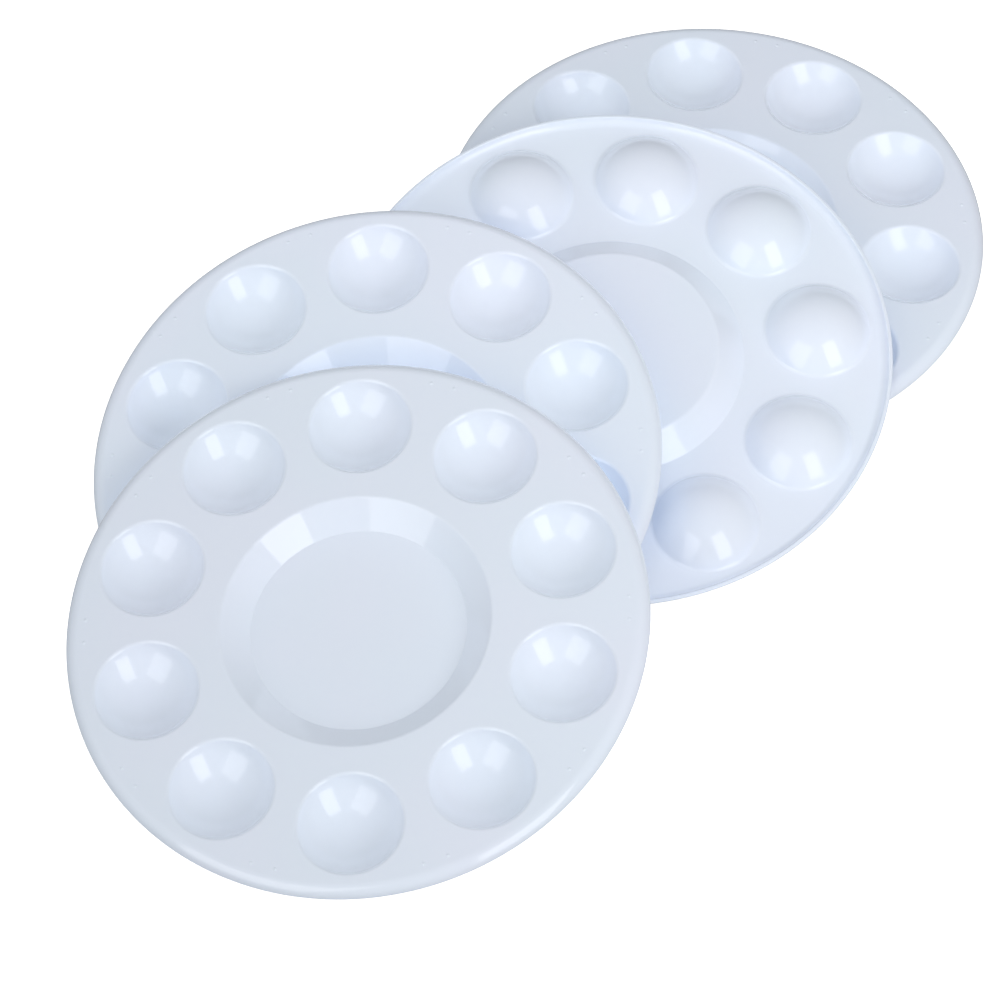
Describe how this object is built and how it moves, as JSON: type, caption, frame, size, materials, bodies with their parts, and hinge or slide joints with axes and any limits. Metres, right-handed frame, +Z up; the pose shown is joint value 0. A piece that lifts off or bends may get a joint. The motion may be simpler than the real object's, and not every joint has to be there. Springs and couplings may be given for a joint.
{
  "type": "mixing palette",
  "caption": "Set of round moulded plastic mixing palettes, each with small round wells around a flat-bottomed basin, lying in a leaning row with one turned over.",
  "frame": {"origin": "on the table, under the middle of the set's bounding box", "axes": "+Z up; -Y is the front, where the front palette lies and from where the set is seen; +X to the right, towards the back palette"},
  "size_m": [0.2752, 0.3292, 0.0387],
  "materials": {
    "palette_plastic": "glossy moulded plastic, bluish white, lightly hazed"
  },
  "bodies": {
    "back": {"palette_back": "palette_plastic"},
    "turned_over": {"palette_turned_over": "palette_plastic"},
    "middle": {"palette_middle": "palette_plastic"},
    "front": {"palette_front": "palette_plastic"}
  },
  "joints": [
    {"name": "lift_turned_over", "type": "slide", "parent": "back", "child": "turned_over", "axis": [0, 0, 1], "range_m": [0, 0.06]},
    {"name": "lift_middle", "type": "slide", "parent": "turned_over", "child": "middle", "axis": [0, 0, 1], "range_m": [0, 0.06]},
    {"name": "lift_front", "type": "slide", "parent": "middle", "child": "front", "axis": [0, 0, 1], "range_m": [0, 0.06]}
  ]
}
